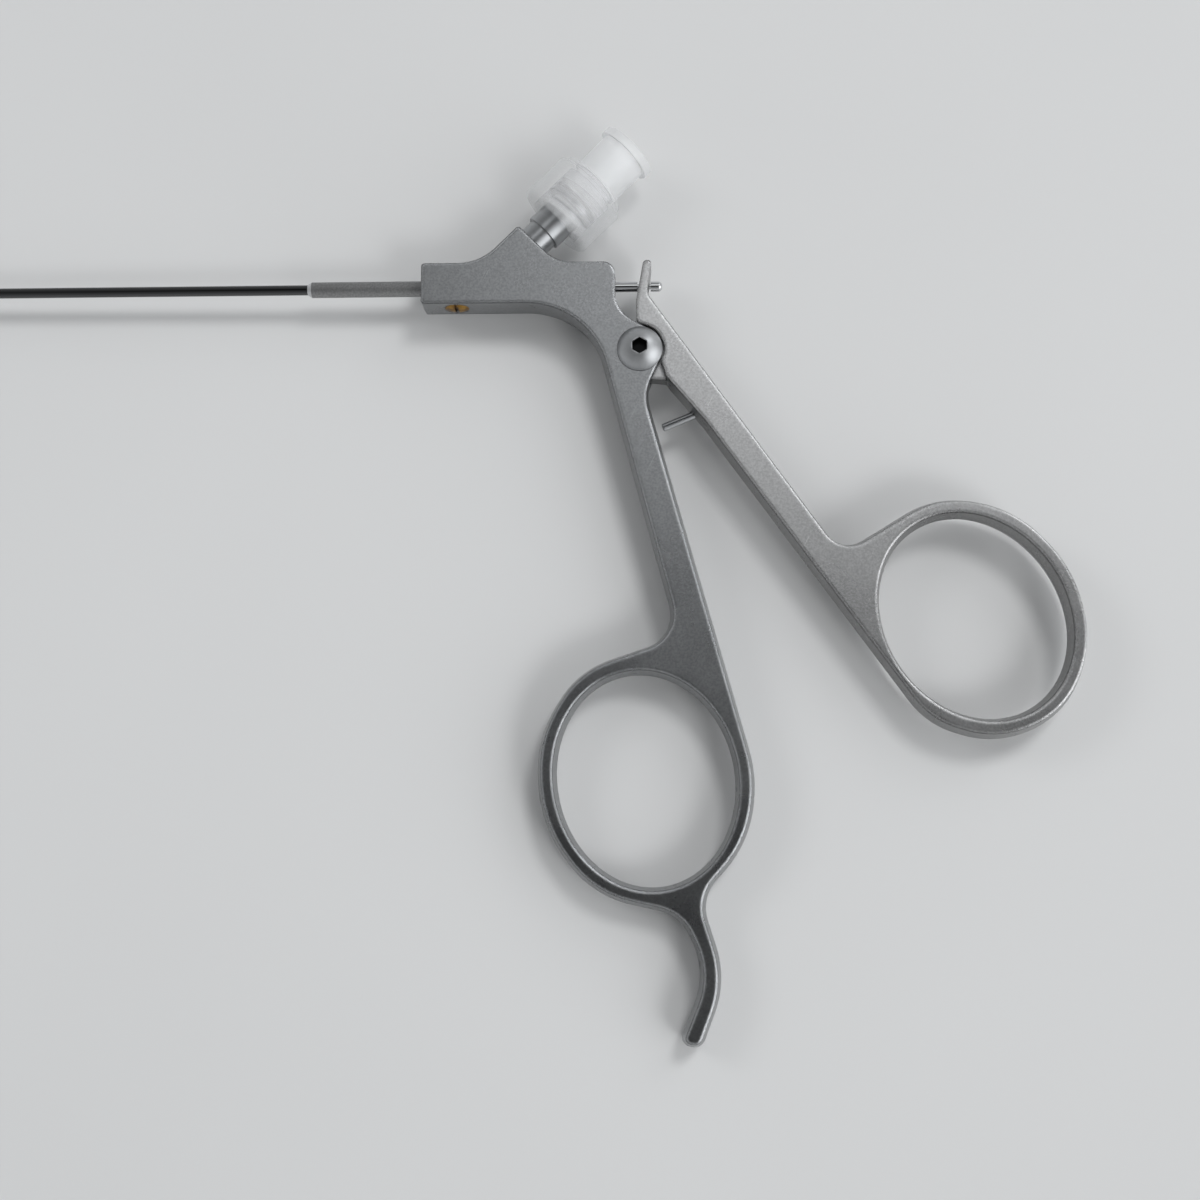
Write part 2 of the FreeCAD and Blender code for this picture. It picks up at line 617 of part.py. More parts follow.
def stop_pin(doc, sizes):
    """Slotted spring pin that meets the front arm when the jaws are closed."""
    body = new_body(doc, "stop_pin")
    inside, edge = sizes.stop_radius - sizes.stop_wall, 0.1
    revolve(body, "tube", [
        (0.0, inside), (0.0, sizes.stop_radius - edge), (edge, sizes.stop_radius),
        (sizes.stop_length, sizes.stop_radius), (sizes.stop_length, inside),
    ])
    slit = new_sketch(body, "slit_shape")
    half = sizes.stop_slit / 2
    add_profile(slit, box_profile(-SPARE, -half, sizes.stop_length + SPARE, half))
    pad(body, "slit", slit, sizes.stop_radius * 2, "PartDesign::Pocket", middle=False, reverse=True)
    place_body(body, sizes.stop_tip_x, sizes.stop_tip_y, turn=sizes.stop_turn)
    return body


def pivot_screw(doc, sizes):
    """Shoulder screw with a domed head and a hexagon socket, flush at the back."""
    body = new_body(doc, "pivot_screw")
    back = -sizes.handle_thick
    step = -sizes.handle_thick / 2 - sizes.tongue_half - sizes.tongue_play
    brim = (sizes.head_brim, sizes.head_radius)
    revolve(body, "screw", [
        (back, 0.0), (back, sizes.pivot_thread), (step, sizes.pivot_thread), (step, sizes.pivot_radius),
        (0.0, sizes.pivot_radius), (0.0, sizes.head_radius), brim,
        dome(brim, (sizes.head_height, sizes.head_flat)), (sizes.head_height, 0.0),
    ])
    socket = new_sketch(body, "socket_shape", plane="YZ_Plane", offset=sizes.head_height)
    reach = sizes.hex_across.value / 2 / math.cos(math.radians(30))
    ends = [(reach * math.cos(math.radians(60 * i)), reach * math.sin(math.radians(60 * i))) for i in range(6)]
    add_profile(socket, ends)
    pad(body, "socket", socket, sizes.hex_depth, "PartDesign::Pocket", middle=False)
    place_body(body, sizes.pivot_x, -sizes.lever_arm, sizes.handle_thick / 2, axis=(0, 1, 0), turn=-90.0)
    return body


# Port

def port_stub(doc, sizes):
    """Metal tube on the slanted boss, with a socket and a lip for the collar."""
    body = new_body(doc, "port_stub")
    root, face = sizes.port_face - sizes.stub_root, sizes.port_face
    end = face + sizes.stub_length
    ridge = face + sizes.collar_start / 2
    bottom = end - sizes.taper_depth
    revolve(body, "tube", [
        (root, sizes.channel_radius), (root, sizes.stub_root_radius), (face, sizes.stub_root_radius),
        (face, sizes.stub_radius - sizes.stub_ridge), (ridge, sizes.stub_radius - sizes.stub_ridge),
        (ridge, sizes.stub_radius), (end - sizes.stub_lip, sizes.stub_radius),
        (end - sizes.stub_lip, sizes.stub_lip_radius), (end, sizes.stub_lip_radius),
        (end, sizes.nose_radius + sizes.nose_play), (bottom, sizes.nose_radius + sizes.nose_play),
        (bottom, sizes.channel_radius),
    ])
    place_body(body, sizes.port_x, 0.0, turn=sizes.port_turn)
    return body


def luer_hub(doc, sizes):
    """Frosted hub: a nose in the stub, a neck that the collar turns on, and a tapered socket."""
    body = new_body(doc, "luer_hub")
    seat = sizes.port_face + sizes.stub_length
    nose = seat - sizes.taper_depth + sizes.nose_spare
    collar_end = sizes.port_face + sizes.collar_start + sizes.collar_length
    wall = collar_end - sizes.collar_end
    end = collar_end + sizes.hub_length
    shoulder = sizes.collar_bore - sizes.hub_shoulder_play
    above, step = seat + sizes.nose_spare, collar_end + sizes.hub_neck_spare
    bottom = end - sizes.taper_depth
    revolve(body, "hub", [
        (nose, sizes.channel_radius), (nose, sizes.nose_radius),
        (above, sizes.nose_radius), (above, shoulder),
        (wall - sizes.collar_play, shoulder), (wall - sizes.collar_play, sizes.hub_neck_radius),
        (step, sizes.hub_neck_radius), (step, sizes.hub_radius),
        (end - sizes.hub_lip, sizes.hub_radius), (end - sizes.hub_lip, sizes.hub_lip_radius),
        (end, sizes.hub_lip_radius), (end, sizes.taper_radius),
        (bottom, sizes.taper_radius - sizes.taper_slope * sizes.taper_depth),
        (bottom, sizes.channel_radius),
    ])
    place_body(body, sizes.port_x, 0.0, turn=sizes.port_turn)
    return body


def luer_collar(doc, sizes):
    """Frosted sleeve that turns on the hub and grips the stub's lip."""
    body = new_body(doc, "luer_collar")
    start = sizes.port_face + sizes.collar_start
    end = start + sizes.collar_length
    wall = end - sizes.collar_end
    hole = sizes.hub_neck_radius + sizes.collar_play
    mouth, step = sizes.collar_break, sizes.collar_step
    revolve(body, "sleeve", [
        (start, sizes.collar_bore), (start, sizes.collar_radius - mouth), (start + mouth, sizes.collar_radius),
        (end - sizes.collar_step_length, sizes.collar_radius),
        (end - sizes.collar_step_length, sizes.collar_radius - step), (end, sizes.collar_radius - step - mouth),
        (end, hole), (wall, hole), (wall, sizes.collar_bore),
    ])
    place_body(body, sizes.port_x, 0.0, turn=sizes.port_turn)
    return body


# Shaft

def shaft_ferrule(doc, sizes):
    """Matt sleeve that holds the shaft tube and is locked in the bar."""
    body = new_body(doc, "shaft_ferrule")
    end = sizes.bar_left + sizes.ferrule_depth
    revolve(body, "sleeve", [
        (sizes.cone_length, sizes.tube_root_radius), (sizes.cone_length, sizes.ferrule_radius),
        (end, sizes.ferrule_radius), (end, sizes.tube_bore),
        (sizes.tube_root, sizes.tube_bore), (sizes.tube_root, sizes.tube_root_radius),
    ])
    return body


def ferrule_cone(doc, sizes):
    """Polished cone between the slim shaft and the ferrule."""
    body = new_body(doc, "ferrule_cone")
    revolve(body, "cone", [
        (0.0, sizes.tube_root_radius), (0.0, sizes.cone_front),
        (sizes.cone_length, sizes.ferrule_radius), (sizes.cone_length, sizes.tube_root_radius),
    ])
    return body


def shaft_tube(doc, sizes):
    """Slim shaft, turned down where it enters the ferrule."""
    body = new_body(doc, "shaft_tube")
    revolve(body, "tube", [
        (-sizes.tube_length, sizes.tube_bore), (-sizes.tube_length, sizes.tube_radius),
        (0.0, sizes.tube_radius), (0.0, sizes.tube_root_radius),
        (sizes.tube_root, sizes.tube_root_radius), (sizes.tube_root, sizes.tube_bore),
    ])
    return body


def lock_screw(doc, sizes):
    """Slotted brass screw that locks the ferrule."""
    body = new_body(doc, "lock_screw")
    tip, wall = sizes.ferrule_radius, sizes.bar_half
    step = tip + sizes.lock_point_length
    crown = wall + sizes.lock_proud
    revolve(body, "screw", [
        (tip, 0.0), (tip, sizes.lock_point), (step, sizes.lock_point), (step, sizes.lock_radius),
        (wall, sizes.lock_radius), dome((wall, sizes.lock_radius), (crown, 0.0)),
    ])
    slot = new_sketch(body, "slot_shape")
    half = sizes.lock_slot / 2
    add_profile(slot, box_profile(crown - sizes.lock_slot_depth, -half, crown + SPARE, half))
    pad(body, "slot", slot, sizes.lock_radius * 2, "PartDesign::Pocket")
    place_body(body, sizes.lock_x, 0.0, turn=-90.0)
    return body


# Drive train

def drive_rod(doc, sizes):
    """Polished rod with a waist for the fork, a rounded head and a socket for the wire."""
    body = new_body(doc, "drive_rod")
    start, radius = sizes.rod_start, sizes.rod_radius
    after = sizes.waist_start + sizes.waist_length
    shoulder = (sizes.rod_end - sizes.rod_crown, radius)
    tip = (sizes.rod_end, sizes.rod_flat)
    revolve(body, "rod", [
        (start, sizes.wire_radius), (start, radius), (sizes.waist_start, radius),
        (sizes.waist_start, sizes.waist_radius), (after, sizes.waist_radius), (after, radius),
        shoulder, dome(shoulder, tip), (sizes.rod_end, 0.0),
        (start + sizes.wire_grip, 0.0), (start + sizes.wire_grip, sizes.wire_radius),
    ])
    return body


def bore_ring(doc, label, sizes, end, thick, play):
    """A ring that fills the bar's bore round the rod, with its back face at a place on the axis."""
    body = new_body(doc, label)
    start = end - thick
    inside, outside = sizes.rod_radius + play, sizes.ferrule_radius + sizes.ferrule_fit
    revolve(body, "ring", [(start, inside), (start, outside), (end, outside), (end, inside)])
    return body


def rod_seal(doc, sizes):
    """Rubber ring round the rod at the end of the chamber."""
    return bore_ring(doc, "rod_seal", sizes, sizes.chamber_end, sizes.seal_thick, sizes.seal_play)


def seal_washer(doc, sizes):
    """Metal washer that holds the rod seal on its seat."""
    end = sizes.chamber_end - sizes.seal_thick
    return bore_ring(doc, "seal_washer", sizes, end, sizes.washer_thick, sizes.washer_play)


def pivot_place(sizes):
    """Jaw pivot on the shaft axis."""
    slot = sizes.drive_reach + sizes.tail_end_radius + sizes.tail_room
    return -sizes.tube_length - sizes.neck_length - sizes.yoke_solid - slot


def drive_step(sizes):
    """Travel of the drive for each degree that a jaw turns."""
    return sizes.lever_arm.value * math.radians(1) / sizes.jaw_ratio.value


def drive_pin_place(sizes):
    """Drive pin on the shaft axis with the handle at rest."""
    closing = sizes.lever_arm * sizes.handle_close * math.radians(1)
    return pivot_place(sizes) + sizes.drive_reach - closing


def pull_wire(doc, sizes):
    """Wire from the drive blade to the rod's socket."""
    body = new_body(doc, "pull_wire")
    start = drive_pin_place(sizes) + sizes.blade_length
    end = sizes.rod_start + sizes.wire_grip
    revolve(body, "wire", [(start, 0.0), (start, sizes.wire_radius), (end, sizes.wire_radius), (end, 0.0)])
    return body


def drive_blade(doc, sizes):
    """Flat end of the drive between the jaw tails."""
    body = new_body(doc, "drive_blade")
    half, end = sizes.blade_height, sizes.blade_length
    shape = new_sketch(body, "blade_shape")
    add_profile(shape, [
        (0.0, half), (-half, 0.0, 0.0, -half), (end, -half), (end, half),
    ])
    pad(body, "blade", shape, sizes.blade_half * 2)
    hole = new_sketch(body, "pin_hole")
    add_circle(hole, sizes.drive_pin_radius)
    pad(body, "hole", hole, sizes.blade_half * 2, "PartDesign::Pocket")
    place_body(body, drive_pin_place(sizes))
    return body


def cross_pin(doc, label, sizes, x, radius, half_length):
    """A plain pin across the shaft."""
    pin = doc.addObject("Part::Cylinder", label)
    pin.Label = label
    bind(pin, "Radius", radius)
    bind(pin, "Height", half_length * 2)
    place_body(pin, x, 0.0, -half_length)
    return pin


# Jaws

def jaw_yoke(doc, sizes):
    """Forked end of the shaft with a spigot in the tube."""
    body = new_body(doc, "jaw_yoke")
    pivot = pivot_place(sizes)
    neck = -sizes.tube_length - sizes.neck_length
    front = pivot - sizes.tube_radius
    root = -sizes.tube_length + sizes.yoke_root
    bore, outside = sizes.yoke_bore, sizes.tube_radius
    revolve(body, "blank", [
        (front, bore), (front, outside), (neck, outside), (neck, sizes.neck_radius),
        (-sizes.tube_length, sizes.neck_radius), (-sizes.tube_length, sizes.tube_bore),
        (root, sizes.tube_bore), (root, bore),
    ])
    slot = new_sketch(body, "slot_shape", plane="XZ_Plane")
    half, end = sizes.yoke_slot_half, neck - sizes.yoke_solid
    add_profile(slot, box_profile(front - SPARE, -half, end, half))
    pad(body, "slot", slot, sizes.tube_radius * 4, "PartDesign::Pocket")
    nose = new_sketch(body, "nose_shape", shift=(pivot, 0.0))
    reach = sizes.tube_radius
    add_profile(nose, [(0.0, reach), (-reach, 0.0, 0.0, -reach), (0.0, -reach * 2), (-reach * 2, -reach * 2),
                       (-reach * 2, reach * 2), (0.0, reach * 2)])
    pad(body, "nose", nose, sizes.tube_radius * 4, "PartDesign::Pocket")
    hole = new_sketch(body, "pin_hole")
    add_circle(hole, sizes.jaw_pin_radius, pivot, 0.0)
    pad(body, "hole", hole, sizes.tube_radius * 4, "PartDesign::Pocket")
    return body


def slot_point(sizes, angle):
    """Centre of the tail's slot that lies on the shaft axis when the jaw is open by an angle."""
    reach = sizes.drive_reach.value - drive_step(sizes) * angle
    around = math.radians(angle)
    return Vector(reach * math.cos(around), reach * math.sin(around), 0)


def tail_slot(sizes, sketch):
    """Curved slot: two arcs beside the centre line and a round at each end."""
    wide = sizes.drive_pin_radius.value + sizes.jaw_pin_play.value
    full = (sizes.handle_close.value + sizes.handle_open.value) * sizes.jaw_ratio.value
    centres = [slot_point(sizes, angle) for angle in (0.0, full / 2, full)]
    line = Part.ArcOfCircle(*centres)
    hub, radius = line.Center, line.Radius
    ways = [(centre - hub).normalize() for centre in centres]
    outer = [hub + way * (radius + wide) for way in ways]
    inner = [hub + way * (radius - wide) for way in ways]
    along = [Vector(way.y, -way.x, 0) * wide for way in ways]
    sketch.addGeometry(Part.ArcOfCircle(*outer), False)
    sketch.addGeometry(Part.ArcOfCircle(outer[2], centres[2] - along[2], inner[2]), False)
    sketch.addGeometry(Part.ArcOfCircle(inner[2], inner[1], inner[0]), False)
    sketch.addGeometry(Part.ArcOfCircle(inner[0], centres[0] + along[0], outer[0]), False)
    join_ends(sketch, 4)


def jaw(doc, label, sizes, side):
    """One jaw: a hollow cup, and a flat tail with the curved slot; the other is turned over."""
    body = new_body(doc, label)
    back, tip, radius = -sizes.cup_start, -sizes.jaw_length, sizes.cup_radius
    wall = sizes.cup_wall
    inside, middle = radius - wall, tip + radius
    revolve(body, "cup", [
        (tip, 0.0), dome((tip, 0.0), (middle, radius)), (back, radius), (back, 0.0),
    ], angle=180.0)
    revolve(body, "bowl", [
        (tip + wall, 0.0), dome((tip + wall, 0.0), (middle, inside)),
        (back - wall * 3, inside), (back - wall * 2, 0.0),
    ], "PartDesign::Groove")
    low, high = sizes.blade_half + sizes.tail_gap, sizes.blade_half + sizes.tail_gap + sizes.tail_thick
    plate = new_sketch(body, "tail_shape", offset=(low + high) / 2)
    end, top = sizes.drive_reach, sizes.tail_top
    bend = sizes.tail_end_radius
    add_profile(plate, [
        (back - 0.1, 0.3), (back - 0.1, radius - 0.1), (0.0, 0.6), (0.5, top), (1.1, top), (end, bend),
        (end + bend, 0.0, end, -bend), (1.25, -0.05), (0.55, -0.12),
        (0.1, -0.52, -0.45, -0.25),
    ])
    pad(body, "tail", plate, sizes.tail_thick)
    slot = new_sketch(body, "slot_shape")
    tail_slot(sizes, slot)
    pad(body, "slot", slot, sizes.tube_radius * 2, "PartDesign::Pocket")
    hole = new_sketch(body, "pivot_hole")
    add_circle(hole, sizes.jaw_pin_radius + sizes.jaw_pin_play)
    pad(body, "hole", hole, sizes.tube_radius * 2, "PartDesign::Pocket")
    rim = new_sketch(body, "rim_shape", plane="XZ_Plane")
    add_profile(rim, box_profile(tip - SPARE, -radius - SPARE, back + wall, radius + SPARE))
    pad(body, "rim", rim, sizes.rim_gap * 2, "PartDesign::Pocket")
    rest = sizes.handle_close.value * sizes.jaw_ratio.value
    flip = Rotation(Vector(1, 0, 0), 0 if side > 0 else 180)
    turn = Rotation(Vector(0, 0, 1), -side * rest)
    body.Placement = Placement(Vector(pivot_place(sizes).value, 0, 0), turn.multiply(flip))
    bind(body, "Placement.Base.x", pivot_place(sizes))
    return body


def build(doc):
    """Make every piece of the forceps."""
    sizes = Sizes(doc)
    doc.recompute()
    pieces = [
        front_handle(doc, sizes), thumb_handle(doc, sizes), pivot_screw(doc, sizes), stop_pin(doc, sizes),
        lock_screw(doc, sizes), shaft_ferrule(doc, sizes), ferrule_cone(doc, sizes), shaft_tube(doc, sizes),
        port_stub(doc, sizes), luer_hub(doc, sizes), luer_collar(doc, sizes),
        drive_rod(doc, sizes), rod_seal(doc, sizes), seal_washer(doc, sizes),
        pull_wire(doc, sizes), drive_blade(doc, sizes), jaw_yoke(doc, sizes),
        cross_pin(doc, "jaw_pivot_pin", sizes, pivot_place(sizes), sizes.jaw_pin_radius,
                  sizes.tube_radius - sizes.jaw_pin_short),
        cross_pin(doc, "drive_pin", sizes, drive_pin_place(sizes), sizes.drive_pin_radius,
                  sizes.yoke_slot_half - sizes.tail_gap),
        jaw(doc, "upper_jaw", sizes, 1), jaw(doc, "lower_jaw", sizes, -1),
    ]
    doc.recompute()
    return pieces


def check(doc, pieces):
    """Stop when any object failed or any piece has no sound solid."""
    for obj in doc.Objects:
        if "Invalid" in obj.State or "Error" in obj.State:
            raise RuntimeError(f"{obj.Name} is {obj.State}")
    for piece in pieces:
        shape = piece.Shape
        if shape.isNull() or not shape.isValid() or len(shape.Solids) != 1:
            raise RuntimeError(f"{piece.Label} has no single sound solid")


def main():
    doc = FreeCAD.newDocument("biopsy_forceps")
    pieces = build(doc)
    check(doc, pieces)
    os.makedirs("parts", exist_ok=True)
    for piece in pieces:
        piece.Shape.exportStep(os.path.join("parts", piece.Label + ".step"))
        print(piece.Label, round(piece.Shape.Volume, 3))


main()
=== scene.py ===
import json
import math

import bmesh
import bpy
from mathutils import Euler, Matrix, Vector


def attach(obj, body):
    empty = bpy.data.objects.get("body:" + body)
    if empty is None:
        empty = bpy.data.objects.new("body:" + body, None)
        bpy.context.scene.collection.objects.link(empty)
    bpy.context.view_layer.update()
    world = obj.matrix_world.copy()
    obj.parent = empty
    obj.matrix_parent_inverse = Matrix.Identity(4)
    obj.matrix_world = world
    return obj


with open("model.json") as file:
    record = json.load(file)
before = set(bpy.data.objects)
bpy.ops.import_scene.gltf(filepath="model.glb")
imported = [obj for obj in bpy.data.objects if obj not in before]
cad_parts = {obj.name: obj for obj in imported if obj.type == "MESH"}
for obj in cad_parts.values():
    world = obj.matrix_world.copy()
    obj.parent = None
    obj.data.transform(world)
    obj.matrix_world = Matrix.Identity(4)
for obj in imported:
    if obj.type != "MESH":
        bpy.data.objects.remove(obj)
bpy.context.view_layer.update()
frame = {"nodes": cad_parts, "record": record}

MM = 0.001

# Camera, in millimetres and degrees: a phone above the finger rings, tipped towards the connector
CAMERA_PLACE = Vector((50.77, -83.45, 251.6))
CAMERA_TURN = (8.504, 1.880, 0.0)
CAMERA_FIELD = 36.8

# Lamps, in metres and watts: name, place, width and power
LAMP_AIM = Vector((0.05, -0.04, 0.0))
LAMPS = (
    ("ceiling_far", (0.42, 0.44, 0.92), 0.30, 3.6),
    ("ceiling_near", (0.60, -0.60, 0.75), 0.36, 2.7),
    ("ceiling_left", (-0.75, 0.35, 0.70), 0.45, 2.0),
)

# Glows of the room: a way, and the brightness at angles from it in degrees
ROOM_GLOWS = (
    ((0.0, 0.0, 1.0), ((0, 0.01), (10, 0.02), (20, 0.15), (35, 0.24), (55, 0.34), (85, 0.57))),
    ((0.10, 0.40, 1.0), ((0, 1.6), (8, 1.15), (15, 0.0))),
    ((0.86, -0.30, 0.42), ((0, 2.0), (18, 1.4), (38, 0.0))),
    ((0.60, 0.60, 0.55), ((0, 2.2), (10, 1.4), (20, 0.0))),
)
ROOM_WARMTH = -0.015
BACKDROP_GREY = (0.57, 0.575, 0.58)

# Table top, in metres: half its width, and where it fades into the backdrop
TABLE_HALF = 2.0
FADE_START = 0.7
FADE_END = 1.6
TABLE_GREY = (0.60, 0.605, 0.607)

# What the forceps rests on, in millimetres, and the play under it
CONNECTOR_RIM = Vector((36.0, 10.2, -5.95))
HOOK_TIP = Vector((54.7, -106.7, -2.60))
JAW_TIP = Vector((-398.7, -1.8, -0.72))
TABLE_PLAY = 0.02

# Port and collar, in millimetres: the port's axis, and the collar's two-start inner thread along it
PORT_FOOT = Vector((26.0, 0.0, 0.0))
PORT_WAY = Vector((1.0, 1.0, 0.0)).normalized()
COLLAR_START = 13.9
THREAD_INSET = 0.8
THREAD_LENGTH = 5.2
THREAD_ROOT_RADIUS = 4.0
THREAD_CREST_RADIUS = 3.45
THREAD_PITCH = 2.5
THREAD_ROOT_WIDTH = 0.9
THREAD_CREST_WIDTH = 0.36
THREAD_STARTS = 2
THREAD_STEPS_A_TURN = 48
THREAD_EASE_STEPS = 8
THREAD_LEAST_RISE = 0.02

# Painted shade in the pivot screw's socket, in millimetres: its middle, and where it starts to fade and ends
SOCKET_FLOOR = Vector((48.25, -10.0, 3.1))
SOCKET_SHADE_FADE_START = 1.2
SOCKET_SHADE_FADE_END = 1.68
SOCKET_SHADE_GREY = 0.03

# How far a rounded edge faces up, from 0 on a wall to 1 on a flat, where its painted shade and painted
# highlight change
WALL_END = 0.20
GROOVE_START = 0.40
GROOVE_END = 0.79
RIM_START = 0.86
RIM_END = 0.95
FLAT_START = 0.99

# Grey of the painted highlight on a rim
RIM_HIGHLIGHT_GREY = 0.95

# Brass, tarnished and bright, and frosted plastic at its dullest and clearest
BRASS_TARNISHED = (0.13, 0.06, 0.015)
BRASS_BRIGHT = (0.44, 0.25, 0.05)
PLASTIC_DULL = (0.95, 0.96, 0.975)
PLASTIC_CLEAR = (1.0, 1.01, 1.02)

# Creases steeper than this stay sharp
SMOOTH_ANGLE = math.radians(28)


def tinted(grey, warmth):
    """A grey made a little warmer, or cooler where warmth is below zero."""
    return [grey * (1 + warmth), grey, grey * (1 - warmth)]


def shaded(colour, factor):
    """A colour made lighter or darker."""
    return [part * factor for part in colour]


def shade_smooth(mesh):
    """Smooth shading between the creases of a mesh."""
    mesh.polygons.foreach_set("use_smooth", [True] * len(mesh.polygons))
    mesh.set_sharp_from_angle(angle=SMOOTH_ANGLE)


def link_object(name, data):
    """An object of the scene that shows a mesh, a lamp or a camera."""
    made = bpy.data.objects.new(name, data)
    bpy.context.scene.collection.objects.link(made)
    return made


# Nodes of the materials and of the world

class Nodes:
    """Makes and joins the nodes of a material or of the world."""

    def __init__(self, owner):
        owner.use_nodes = True
        self.tree = owner.node_tree

    def node(self, kind, **values):
        made = self.tree.nodes.new(kind)
        for name, value in values.items():
            setattr(made, name, value)
        return made

    def link(self, output, socket):
        self.tree.links.new(output, socket)

    def ramp(self, value, stops):
        """Grey or colour stops along a value, given in rising order."""
        made = self.node("ShaderNodeValToRGB")
        elements = made.color_ramp.elements
        for index, (position, shade) in enumerate(stops):
            element = elements[index] if index < len(elements) else elements.new(position)
            element.position = position
            element.color = (*shade, 1) if isinstance(shade, (list, tuple)) else (shade, shade, shade, 1)
        self.link(value, made.inputs["Fac"])
        return made.outputs["Color"]

    def between(self, value, low, high, start=0.3, end=0.7):
        """One shade up to the start of a value's range, another from its end, and a blend between."""
        return self.ramp(value, [(start, low), (end, high)])

    def mix(self, kind, first, second):
        """Two colours multiplied or added."""
        made = self.node("ShaderNodeMix", data_type="RGBA", blend_type=kind)
        made.inputs["Factor"].default_value = 1.0
        self.link(first, made.inputs["A"])
        self.link(second, made.inputs["B"])
        return made.outputs["Result"]


class Surface(Nodes):
    """A material on one Principled shader, with its textures placed in the shared frame."""

    def __init__(self, name, metallic=0.0, roughness=0.5, **sockets):
        self.material = bpy.data.materials.new(name)
        super().__init__(self.material)
        self.shader = self.tree.nodes["Principled BSDF"]
        self.shader.inputs["Metallic"].default_value = metallic
        self.shader.inputs["Roughness"].default_value = roughness
        for socket, value in sockets.items():
            self.shader.inputs[socket].default_value = value
        self.place = self.node("ShaderNodeTexCoord").outputs["Object"]
        self.edge = None

    def stretched(self, scale, turn=(0, 0, 0)):
        """Texture places stretched along the axes, after a turn in degrees."""
        mapping = self.node("ShaderNodeMapping", vector_type="TEXTURE")
        mapping.inputs["Rotation"].default_value = [math.radians(part) for part in turn]
        mapping.inputs["Scale"].default_value = scale
        self.link(self.place, mapping.inputs["Vector"])
        return mapping.outputs["Vector"]

    def noise(self, scale, detail, roughness=0.55, place=None):
        made = self.node("ShaderNodeTexNoise")
        made.inputs["Scale"].default_value = scale
        made.inputs["Detail"].default_value = detail
        made.inputs["Roughness"].default_value = roughness
        self.link(place or self.place, made.inputs["Vector"])
        return made.outputs["Fac"]

    def away_from(self, place, start, end):
        """0 up to one distance from a place and 1 from another, all in millimetres."""
        away = self.node("ShaderNodeVectorMath", operation="DISTANCE")
        self.link(self.place, away.inputs[0])
        away.inputs[1].default_value = place * MM
        share = self.node("ShaderNodeMapRange")
        share.inputs["From Min"].default_value = start * MM
        share.inputs["From Max"].default_value = end * MM
        self.link(away.outputs["Value"], share.inputs["Value"])
        return share.outputs["Result"]

    def colour(self, output):
        self.link(output, self.shader.inputs["Base Color"])

    def rough(self, output):
        self.link(output, self.shader.inputs["Roughness"])

    def round_edges(self, radius):
        """Shade sharp edges as if they were rounded to a radius in millimetres."""
        made = self.node("ShaderNodeBevel", samples=6)
        made.inputs["Radius"].default_value = radius * MM
        self.edge = made.outputs["Normal"]
        self.link(self.edge, self.shader.inputs["Normal"])

    def edge_highlight_and_shade(self, wall, groove, rim):
        """Factor round a rounded edge: painted shade on the wall and in a line under the rim, a painted
        highlight on the rim, then 1.
        """
        parts = self.node("ShaderNodeSeparateXYZ")
        self.link(self.edge, parts.inputs["Vector"])
        upright = self.node("ShaderNodeMath", operation="ABSOLUTE")
        self.link(parts.outputs["Z"], upright.inputs[0])
        return self.ramp(upright.outputs["Value"], [
            (WALL_END, wall),
            (GROOVE_START, groove),
            (GROOVE_END, groove),
            (RIM_START, rim),
            (RIM_END, rim),
            (FLAT_START, 1.0),
        ])

    def bump(self, height, strength, distance):
        """Fine relief on top of the rounded edges; distance is in millimetres."""
        made = self.node("ShaderNodeBump")
        if self.edge:
            self.link(self.edge, made.inputs["Normal"])
        made.inputs["Strength"].default_value = strength
        made.inputs["Distance"].default_value = distance * MM
        self.link(height, made.inputs["Height"])
        self.link(made.outputs["Normal"], self.shader.inputs["Normal"])


# Camera and light

def make_camera():
    data = bpy.data.cameras.new("camera")
    data.sensor_fit = "HORIZONTAL"
    data.angle = math.radians(CAMERA_FIELD)
    data.clip_start = 0.005
    data.clip_end = 20
    camera = link_object("camera", data)
    camera.location = CAMERA_PLACE * MM
    camera.rotation_euler = Euler([math.radians(turn) for turn in CAMERA_TURN])
    bpy.context.scene.camera = camera


def make_lamps():
    """Round lamps, each aimed at the handles."""
    for name, place, width, watts in LAMPS:
        data = bpy.data.lights.new(name, "AREA")
        data.shape = "DISK"
        data.size = width
        data.energy = watts
        lamp = link_object(name, data)
        lamp.location = place
        lamp.rotation_mode = "QUATERNION"
        lamp.rotation_quaternion = (LAMP_AIM - Vector(place)).to_track_quat("-Z", "Y")
        lamp.visible_glossy = False


def glow_round(room, way, stops):
    """Brightness by the angle to a way, given as (angle in degrees, brightness)."""
    dot = room.node("ShaderNodeVectorMath", operation="DOT_PRODUCT")
    room.link(room.node("ShaderNodeTexCoord").outputs["Generated"], dot.inputs[0])
    dot.inputs[1].default_value = Vector(way).normalized()
    rising = [(math.cos(math.radians(angle)), tinted(level, ROOM_WARMTH))
              for angle, level in sorted(stops, reverse=True)]
    return room.ramp(dot.outputs["Value"], rising)


def make_world():
    """A plain room: dark overhead, a ceiling light beyond, and a window and a lamp at the right.

    At the horizon its walls have the backdrop's grey, so metal shows the background that the camera
    and see-through pieces do.
    """
    world = bpy.data.worlds.new("room")
    bpy.context.scene.world = world
    room = Nodes(world)
    total, *glows = [glow_round(room, way, stops) for way, stops in ROOM_GLOWS]
    for glow in glows:
        total = room.mix("ADD", total, glow)
    rays = room.node("ShaderNodeLightPath")
    direct = room.node("ShaderNodeMath", operation="MAXIMUM")
    room.link(rays.outputs["Is Camera Ray"], direct.inputs[0])
    room.link(rays.outputs["Is Transmission Ray"], direct.inputs[1])
    seen = room.node("ShaderNodeMix", data_type="RGBA")
    room.link(direct.outputs["Value"], seen.inputs["Factor"])
    room.link(total, seen.inputs["A"])
    seen.inputs["B"].default_value = (*BACKDROP_GREY, 1)
    room.link(seen.outputs["Result"], room.tree.nodes["Background"].inputs["Color"])


# Table top

